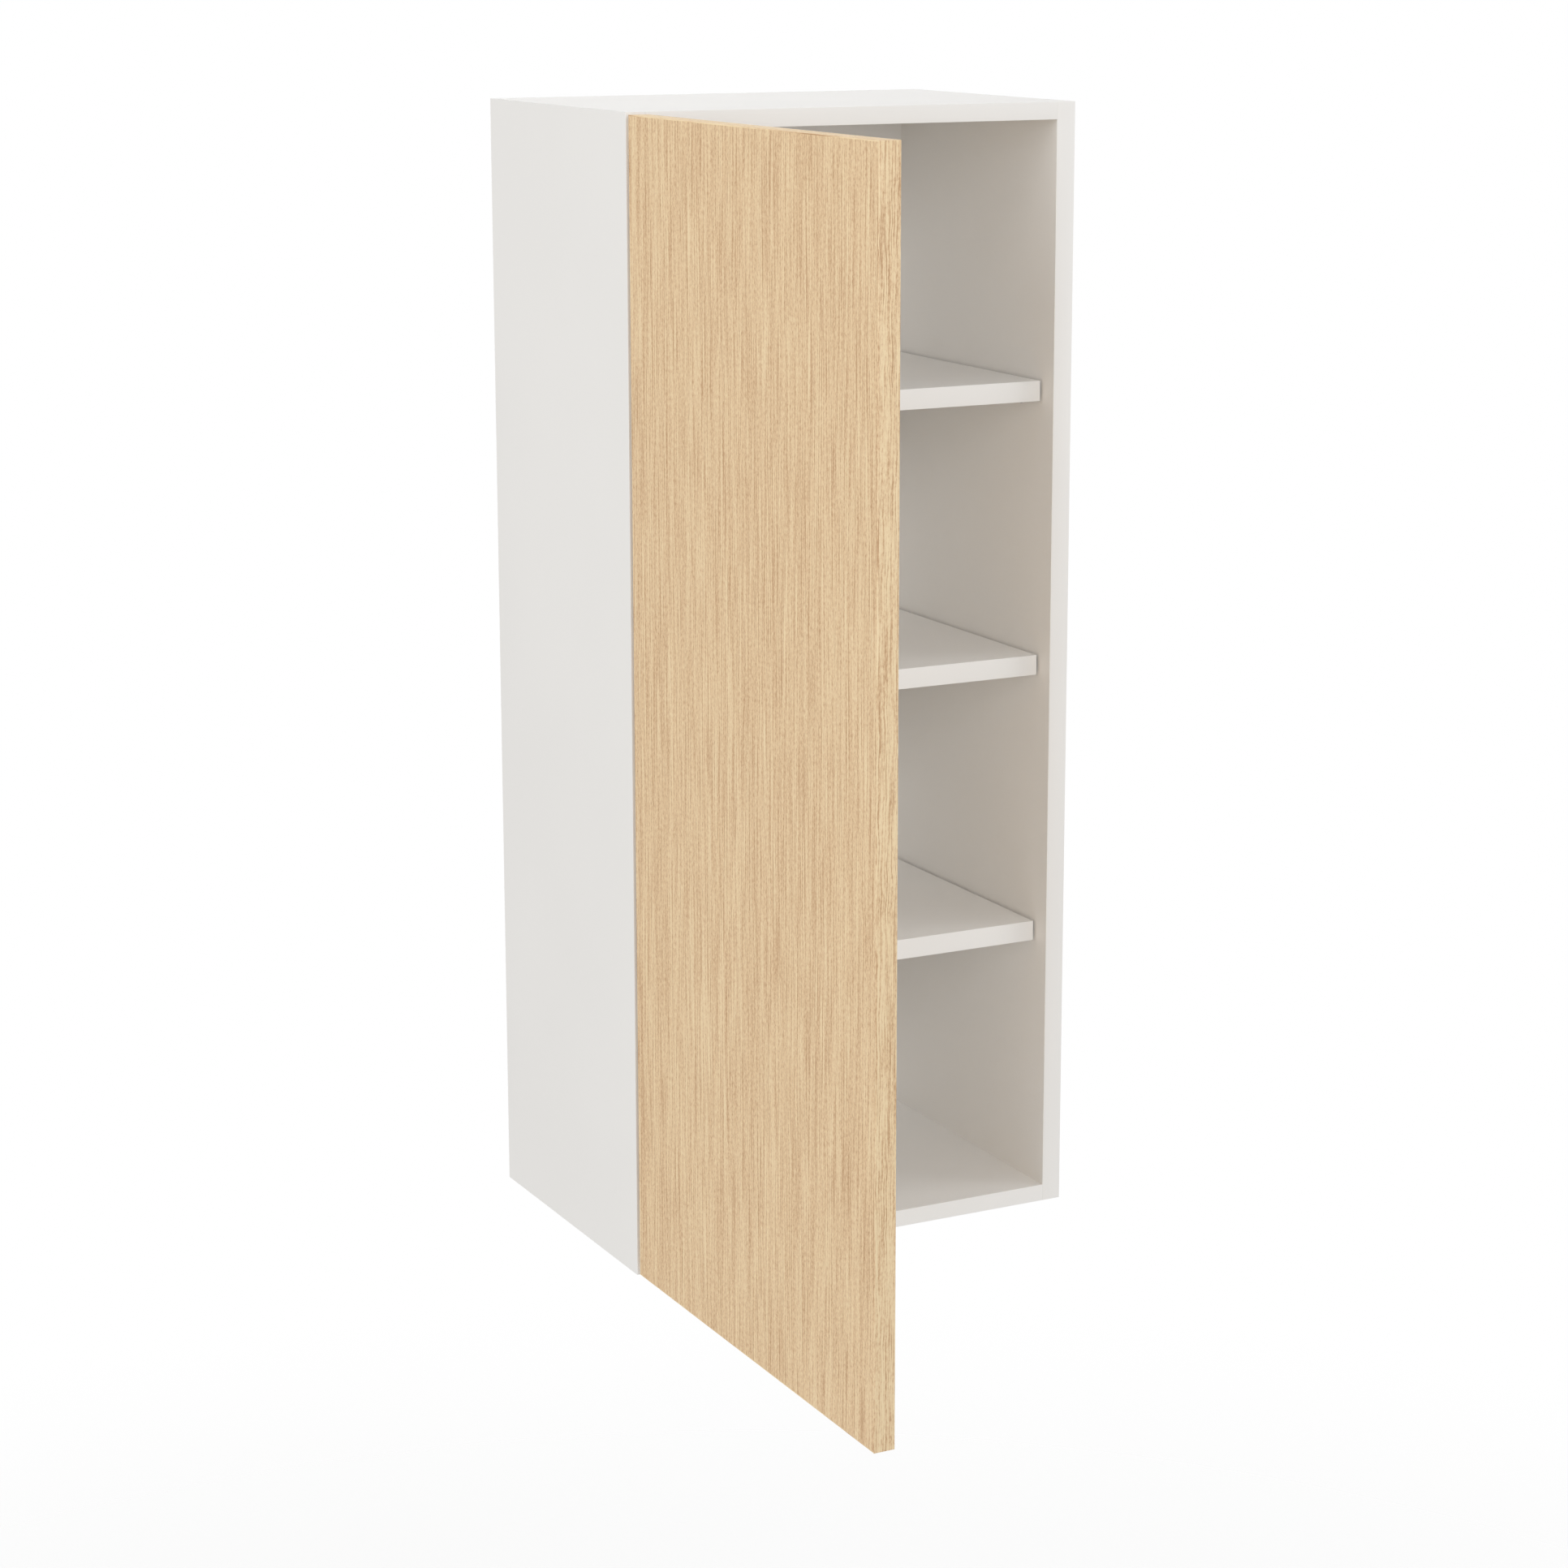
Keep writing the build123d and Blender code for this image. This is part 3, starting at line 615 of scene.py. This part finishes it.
def new_object(name, bm):
    """Makes an object at the origin from a bmesh, which it frees."""
    mesh = bpy.data.meshes.new(name)
    bm.to_mesh(mesh)
    bm.free()
    made = bpy.data.objects.new(name, mesh)
    bpy.context.scene.collection.objects.link(made)
    return made


def finish_piece(name, bm, body, slot, *nodes):
    """Makes a bmesh a piece that rides on a body, takes a slot's finish and stands for CAD nodes."""
    piece = new_object(name, bm)
    piece.data.materials.append(FINISHES[slot])
    piece.data.shade_smooth()
    piece.data.set_sharp_from_angle(angle=SHARP_ANGLE)
    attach(piece, body)
    if nodes:
        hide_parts(*nodes)
    return piece


# Boards and edge bands

def band(name, node, body, slot, radius, exposed):
    """An edge band with rounded outer edges. exposed says which edges are outer ones, from an edge's
    middle and the edge itself."""
    bm = bmesh.new()
    verts = add_block(bm, low(node), high(node))
    chosen = [edge for edge in edges_of(verts)
              if exposed((edge.verts[0].co + edge.verts[1].co) / 2, edge)]
    round_edges(bm, chosen, radius)
    finish_piece(name, bm, body, slot, node)


def near(value, limit):
    """Whether two places are within a hundredth of a millimetre."""
    return abs(value - limit) < 0.01 * MM


class CABINET_OT_finishes(bpy.types.Operator):
    """Makes the finishes and gives them to the CAD boards."""
    bl_idname = "cabinet.finishes"
    bl_label = "Finishes"

    def execute(self, context):
        make_finishes(context.scene.cabinet_boards, context.scene.cabinet_oak)
        for part in RECORD["subparts"]:
            node = frame["nodes"][part["node"]]
            node.data.materials.clear()
            node.data.materials.append(FINISHES[part["material_slot"]])
        return {"FINISHED"}


class CABINET_OT_white_bands(bpy.types.Operator):
    """Edge bands of the carcass and the shelves."""
    bl_idname = "cabinet.white_bands"
    bl_label = "White edge bands"

    def execute(self, context):
        radius = context.scene.cabinet_boards.band_round
        names = ("left", "right", "top", "bottom")
        nodes = {f"{name}_edge_strip": f"edge_band_{name}" for name in names}
        nodes.update({f"shelf_{number}_edge_strip": f"shelf_band_{number}" for number in SHELVES})
        for name, node in nodes.items():
            front = low(node).y
            standing = node in ("edge_band_left", "edge_band_right")
            long_axis = 2 if standing else 0

            def exposed(centre, edge):
                return near(centre.y, front) and (runs_along(edge, long_axis) or standing)

            band(name, node, "carcass", "white_edge", radius, exposed)
        return {"FINISHED"}


class CABINET_OT_oak_bands(bpy.types.Operator):
    """Edge bands round the door."""
    bl_idname = "cabinet.oak_bands"
    bl_label = "Oak edge bands"

    def execute(self, context):
        radius = context.scene.cabinet_boards.band_round
        outer = {"hinge": (1, high("door_band_hinge").y), "free": (1, low("door_band_free").y),
                 "top": (2, high("door_band_top").z), "bottom": (2, low("door_band_bottom").z)}
        for name, (axis, limit) in outer.items():
            def exposed(centre, edge):
                return near(centre[axis], limit) and (axis == 1 or runs_along(edge, 1))

            band(f"door_{name}_edge_strip", f"door_band_{name}", "door", "oak_edge", radius, exposed)
        return {"FINISHED"}


# Hinges

def cup_frame(number):
    """The middle of a hinge cup's mouth, in the door's inner face."""
    node = f"hinge_cup_{number}"
    mouth_x = high("door_face_inner").x
    cup_y = high(node).y - (CUP_R + CUP_FLANGE) * MM
    return Vector((mouth_x, cup_y, middle(node).z))


def sized(profile, factor=1.0):
    """A profile in millimetres as metres."""
    return [(radius * MM * factor, height * MM) for radius, height in profile]


class CABINET_OT_hinge_cups(bpy.types.Operator):
    """Pressed cups let into the door, each with two screw wings."""
    bl_idname = "cabinet.hinge_cups"
    bl_label = "Hinge cups"

    def execute(self, context):
        near_z = (CUP_R - WING_LAP) * MM
        far_z = (WING_SPACING / 2 + WING_END) * MM
        for number in HINGES:
            bm = bmesh.new()
            mouth = cup_frame(number)
            add_turned(bm, sized(CUP_OUTLINE), pointing(mouth, (1, 0, 0)), CUP_STEPS)
            for side in BOTH_ENDS:
                bottom, top = sorted((mouth.z + side * near_z, mouth.z + side * far_z))
                wing = add_block(bm, (mouth.x + WING_LIFT * MM, mouth.y - WING_WIDTH * MM, bottom),
                                 (mouth.x + CUP_FLANGE * MM, mouth.y, top))
                far = mouth.z + side * far_z
                corners = [edge for edge in edges_of(wing)
                           if runs_along(edge, 0) and near(edge.verts[0].co.z, far)]
                round_edges(bm, corners, WING_CORNER_R * MM, CORNER_STEPS)
            finish_piece(f"hinge_cup_shell_{number}", bm, "door", "nickel", f"hinge_cup_{number}")
        return {"FINISHED"}


class CABINET_OT_hinge_arms(bpy.types.Operator):
    """Bent arms that run from the pivot knuckle over the mounting plate."""
    bl_idname = "cabinet.hinge_arms"
    bl_label = "Hinge arms"

    def execute(self, context):
        sheet = ARM_SHEET * MM
        bend = ARM_BEND_R * MM
        shoulder_y = low("hinge_plate_1").y - ARM_SHOULDER * MM
        for number in HINGES:
            node = f"hinge_arm_{number}"
            level = middle(node).z
            half_arm = high(node).z - level
            floor_y, end_y = low(node).y + sheet / 2, high(node).y
            bend_x = high(node).x - sheet / 2 - bend
            bm = bmesh.new()
            knuckle = Matrix.Translation((PIVOT.x, PIVOT.y, level))
            add_turned(bm, sized(KNUCKLE_OUTLINE), knuckle, KNUCKLE_STEPS)
            first = [bm.verts.new((PIVOT.x, floor_y, level + side * ARM_HALF_TONGUE * MM))
                     for side in BOTH_ENDS]
            strip = [bm.edges.new(first)]

            def pull(vector):
                """Extrudes the strip's last edge and moves the new one."""
                old = strip[-1].verts[:]
                grown = bmesh.ops.extrude_edge_only(bm, edges=[strip[-1]])["geom"]
                fresh = [item for item in grown if isinstance(item, bmesh.types.BMEdge)]
                strip.append(max(fresh, key=lambda edge: not any(vert in old for vert in edge.verts)))
                bmesh.ops.translate(bm, verts=strip[-1].verts, vec=vector)

            def widen(half_width):
                """Sets how far the strip's last edge reaches to each side."""
                for vert in strip[-1].verts:
                    vert.co.z = level + math.copysign(half_width, vert.co.z - level)

            def reach_y(y):
                """Extends the strip along Y to a place."""
                pull((0, y - strip[-1].verts[0].co.y, 0))

            pull((bend_x - PIVOT.x, 0, 0))
            turn = Matrix.Rotation(math.pi / 2 / ARM_BEND_STEPS, 3, "Z")
            for _ in range(ARM_BEND_STEPS):
                pull((0, 0, 0))
                bmesh.ops.rotate(bm, verts=strip[-1].verts, cent=(bend_x, floor_y + bend, 0), matrix=turn)
            reach_y(shoulder_y)
            pull((0, ARM_FLARE * MM, 0))
            widen(half_arm)
            reach_y(end_y - ARM_NOSE * MM)
            pull((0, ARM_NOSE * MM, 0))
            widen(half_arm - ARM_NOSE_TAPER * MM)

            # The long sides of the wide part are folded down into lips
            strip_faces = once(face for edge in strip for face in edge.link_faces)
            sides = once(edge for face in strip_faces for edge in face.edges
                         if len(edge.link_faces) == 1 and not runs_along(edge, 2)
                         and min(vert.co.y for vert in edge.verts) > shoulder_y + LIP_START * MM
                         and max(vert.co.y for vert in edge.verts) < end_y - LIP_END * MM)
            folded = bmesh.ops.extrude_edge_only(bm, edges=sides)["geom"]
            lips = [item for item in folded if isinstance(item, bmesh.types.BMVert)]
            bmesh.ops.translate(bm, verts=lips, vec=(-ARM_LIP * MM, 0, 0))
            sheet_faces = [face for face in bm.faces if max(
                (vert.co.xy - PIVOT.xy).length for vert in face.verts) > KNUCKLE_CLEAR * MM]
            bmesh.ops.recalc_face_normals(bm, faces=sheet_faces)
            piece = finish_piece(f"hinge_arm_sheet_{number}", bm, "carcass", "nickel", node)
            thicken = piece.modifiers.new("sheet", "SOLIDIFY")
            thicken.thickness = sheet
            thicken.offset = 0
            soften = piece.modifiers.new("edges", "BEVEL")
            soften.width = ARM_EDGE_R * MM
            soften.segments = 2
            soften.limit_method = "ANGLE"
        return {"FINISHED"}


class CABINET_OT_hinge_plates(bpy.types.Operator):
    """Cross-shaped mounting plates with a raised rail for the arm."""
    bl_idname = "cabinet.hinge_plates"
    bl_label = "Hinge plates"

    def execute(self, context):
        for number in HINGES:
            node = f"hinge_plate_{number}"
            start, end = low(node), high(node)
            level = middle(node).z
            screw_y = middle("hinge_plate_screws").y
            half_wing, half_rail = PLATE_HALF_WING * MM, PLATE_HALF_RAIL * MM
            bm = bmesh.new()
            wing = add_block(bm, (start.x, screw_y - half_wing, start.z),
                             (start.x + PLATE_SHEET * MM, screw_y + half_wing, end.z))
            corners = [edge for edge in edges_of(wing) if runs_along(edge, 0)]
            round_edges(bm, corners, PLATE_WING_CORNER_R * MM, CORNER_STEPS)
            rail = add_block(bm, (start.x, start.y, level - half_rail), (end.x, end.y, level + half_rail))
            round_edges(bm, edges_of(rail), PLATE_RAIL_ROUND * MM)
            finish_piece(f"hinge_rail_{number}", bm, "carcass", "nickel", node)
        return {"FINISHED"}


# Screws and small fittings

def screws(name, node, body, places, profile, reach, factor=1.0):
    """Steel screws with a cross recess, one at each placed origin, as one piece."""
    bm = bmesh.new()
    for matrix in places:
        add_turned(bm, sized(profile, factor), matrix, SCREW_STEPS)
    piece = finish_piece(name, bm, body, "steel", node)
    crown = Matrix.Translation((0, 0, profile[0][1] * MM))
    cut_crosses(piece, [matrix @ crown for matrix in places], reach * MM, RECESS_WIDTH * MM,
                RECESS_DEPTH * MM)


class CABINET_OT_screws(bpy.types.Operator):
    """Screws of the hinges and the hanging plates."""
    bl_idname = "cabinet.screws"
    bl_label = "Screws"

    def execute(self, context):
        cups, plates, clamps, hangers = [], [], [], []
        for number in HINGES:
            mouth = cup_frame(number)
            plate, arm = f"hinge_plate_{number}", f"hinge_arm_{number}"
            plate_x = low(plate).x + PLATE_SHEET * MM
            plate_y = middle("hinge_plate_screws").y
            for side in BOTH_ENDS:
                in_cup = Vector((CUP_FLANGE, -WING_OFFSET, side * WING_SPACING / 2)) * MM
                cups.append(pointing(mouth + in_cup, (1, 0, 0)))
                plate_z = middle(plate).z + side * PLATE_SCREW_RISE * MM
                plates.append(pointing((plate_x, plate_y, plate_z), (1, 0, 0)))
            on_arm = (high(arm).x, middle("hinge_clamp_screws").y, middle(arm).z)
            clamps.append(pointing(on_arm, (1, 0, 0)))
        for hand in ("left", "right"):
            centre = middle(f"hanger_{hand}")
            for side in BOTH_ENDS:
                hangers.append(pointing((centre.x, 0.0, centre.z + side * HANGER_SCREW_RISE * MM),
                                        (0, 1, 0)))
        screws("cup_screws", "hinge_cup_screws", "door", cups, CUP_SCREW, SMALL_RECESS_REACH,
               CUP_SCREW_SCALE)
        screws("plate_screws", "hinge_plate_screws", "carcass", plates, PLATE_SCREW, LARGE_RECESS_REACH)
        screws("clamp_screws", "hinge_clamp_screws", "carcass", clamps, CLAMP_SCREW, LARGE_RECESS_REACH)
        screws("hanger_wood_screws", "hanger_screws", "carcass", hangers, HANGER_SCREW,
               SMALL_RECESS_REACH)
        return {"FINISHED"}


class CABINET_OT_shelf_pins(bpy.types.Operator):
    """Collared steel pins that carry the shelves."""
    bl_idname = "cabinet.shelf_pins"
    bl_label = "Shelf pins"

    def execute(self, context):
        inner_x = low("side_right").x
        for number in SHELVES:
            node = f"shelf_pins_{number}"
            bm = bmesh.new()
            for side in BOTH_ENDS:
                for y in (low(node).y + PIN_COLLAR_R * MM, high(node).y - PIN_COLLAR_R * MM):
                    where = (side * inner_x, y, middle(node).z)
                    add_turned(bm, sized(PIN_OUTLINE), pointing(where, (-side, 0, 0)), PIN_STEPS)
            finish_piece(f"shelf_{number}_pins", bm, "carcass", "steel", node)
        return {"FINISHED"}


class CABINET_OT_cams(bpy.types.Operator):
    """Eccentric cams in the top and bottom boards, with a cross for the driver."""
    bl_idname = "cabinet.cams"
    bl_label = "Cams"

    def execute(self, context):
        radius = CAM_R * MM
        for board in ("top", "bottom"):
            node = f"cams_{board}"
            start, end = low(node), high(node)
            bm = bmesh.new()
            places = []
            for x in (start.x + radius, end.x - radius):
                for y in (start.y + radius, end.y - radius):
                    places.append(Matrix.Translation((x, y, start.z)))
                    add_turned(bm, sized(CAM_OUTLINE), places[-1], CAM_STEPS)
            piece = finish_piece(f"{board}_cams", bm, "carcass", "zinc", node)
            cut_crosses(piece, places, CAM_RECESS_REACH * MM, CAM_RECESS_WIDTH * MM,
                        CAM_RECESS_DEPTH * MM)
        return {"FINISHED"}


class CABINET_OT_bumpers(bpy.types.Operator):
    """Soft domed bumpers on the door's inner face."""
    bl_idname = "cabinet.bumpers"
    bl_label = "Bumpers"

    def execute(self, context):
        node = "door_bumpers"
        start, end = low(node), high(node)
        bm = bmesh.new()
        for z in (start.z + BUMPER_R * MM, end.z - BUMPER_R * MM):
            where = (start.x, middle(node).y, z)
            add_turned(bm, sized(BUMPER_OUTLINE), pointing(where, (1, 0, 0)), BUMPER_STEPS)
        finish_piece("soft_bumpers", bm, "door", "rubber", node)
        return {"FINISHED"}


# Stage

# The camera's place in metres, its tilt and turn in degrees, and its lens in millimetres
CAMERA_PLACE = (-1.521, -3.130, 1.196)
CAMERA_TILT = 90 - 11.81
CAMERA_TURN = -27.50
CAMERA_LENS = 82.64
SENSOR_WIDTH = 36
VIEW_END = 60
CAMERA_SHIFT = (-0.0163, -0.06)
WHITE_LIGHT = (1, 1, 1)
WARM_LIGHT = (1, 0.99, 0.97)
REAR_SHARE = 0.6


def add_area_light(name, place_at, aim, size, power, colour=WHITE_LIGHT):
    """A square soft light, in metres and watts, that shines from a place towards another."""
    lamp = bpy.data.lights.new(name, "AREA")
    lamp.shape = "SQUARE"
    lamp.size = size
    lamp.energy = power
    lamp.color = colour
    holder = bpy.data.objects.new(name, lamp)
    towards = (Vector(aim) - Vector(place_at)).to_track_quat("-Z", "Y")
    holder.matrix_world = Matrix.Translation(place_at) @ towards.to_matrix().to_4x4()
    bpy.context.scene.collection.objects.link(holder)


class CABINET_OT_stage(bpy.types.Operator):
    """Camera, even daylight, five soft lights and a pale floor."""
    bl_idname = "cabinet.stage"
    bl_label = "Stage"

    def execute(self, context):
        scene = context.scene
        stage = scene.cabinet_stage
        lens = bpy.data.cameras.new("camera")
        lens.sensor_width = SENSOR_WIDTH
        lens.lens = CAMERA_LENS
        lens.shift_x, lens.shift_y = CAMERA_SHIFT
        lens.clip_end = VIEW_END
        camera = bpy.data.objects.new("camera", lens)
        camera.location = CAMERA_PLACE
        camera.rotation_euler = (math.radians(CAMERA_TILT), 0, math.radians(CAMERA_TURN))
        scene.collection.objects.link(camera)
        scene.camera = camera

        # The camera sees the surroundings as pure white, and the cabinet is lit by dimmer ones
        world = bpy.data.worlds.new("even daylight")
        world.use_nodes = True
        nodes, links = world.node_tree.nodes, world.node_tree.links
        background = nodes["Background"]
        background.inputs["Color"].default_value = (1, 1, 1, 1)
        seen = nodes.new("ShaderNodeLightPath")
        strength = nodes.new("ShaderNodeMapRange")
        strength.inputs["To Min"].default_value = stage.daylight
        links.new(seen.outputs["Is Camera Ray"], strength.inputs["Value"])
        links.new(strength.outputs["Result"], background.inputs["Strength"])
        scene.world = world
        scene.view_settings.view_transform = "Standard"

        far = stage.far_light
        add_area_light("top light", (-0.2, 0.0, 2.8), (-0.1, -0.15, 1), 1.2, stage.top_light)
        add_area_light("front light", (-0.8, -4.3, 1.9), (0, 0, 0.6), 2.0, stage.front_light)
        add_area_light("far side light", (3.2, -2.2, 1.4), (0, -0.2, 0.6), 1.8, far)
        add_area_light("rear light", (1.4, 3.2, 0.9), (0, 0, 0.6), 1.8, far * REAR_SHARE)
        add_area_light("side light", (-3.9, -0.7, 1.7), (-0.2, -0.3, 0.6), 1.8, stage.side_light,
                       WARM_LIGHT)

        bm = bmesh.new()
        bmesh.ops.create_grid(bm, x_segments=2, y_segments=2, size=FLOOR_HALF)
        bmesh.ops.translate(bm, verts=bm.verts, vec=(0, 0, -stage.floor_drop))
        floor = new_object("studio_floor", bm)
        floor.data.materials.append(pale_floor())
        return {"FINISHED"}


class CABINET_PT_panel(bpy.types.Panel):
    """Lists the cabinet's pieces and settings."""
    bl_idname = "CABINET_PT_panel"
    bl_label = "Cabinet"
    bl_space_type = "VIEW_3D"
    bl_region_type = "UI"
    bl_category = "Cabinet"

    def draw(self, context):
        for group in GROUPS:
            settings = getattr(context.scene, group)
            for name in settings.__annotations__:
                self.layout.prop(settings, name)
        for operator in OPERATORS:
            self.layout.operator(operator.bl_idname)


GROUPS = {"cabinet_boards": CabinetBoards, "cabinet_oak": CabinetOak, "cabinet_stage": CabinetStage}
OPERATORS = (CABINET_OT_finishes, CABINET_OT_white_bands, CABINET_OT_oak_bands, CABINET_OT_hinge_cups,
             CABINET_OT_hinge_arms, CABINET_OT_hinge_plates, CABINET_OT_screws, CABINET_OT_shelf_pins,
             CABINET_OT_cams, CABINET_OT_bumpers, CABINET_OT_stage)


def register():
    for item in (*GROUPS.values(), *OPERATORS, CABINET_PT_panel):
        bpy.utils.register_class(item)
    for name, group in GROUPS.items():
        setattr(bpy.types.Scene, name, PointerProperty(type=group))


def unregister():
    for name in GROUPS:
        delattr(bpy.types.Scene, name)
    for item in reversed((*GROUPS.values(), *OPERATORS, CABINET_PT_panel)):
        bpy.utils.unregister_class(item)


def main():
    register()
    for operator in OPERATORS:
        group, name = operator.bl_idname.split(".")
        getattr(getattr(bpy.ops, group), name)()


if __name__ == "__main__":
    main()
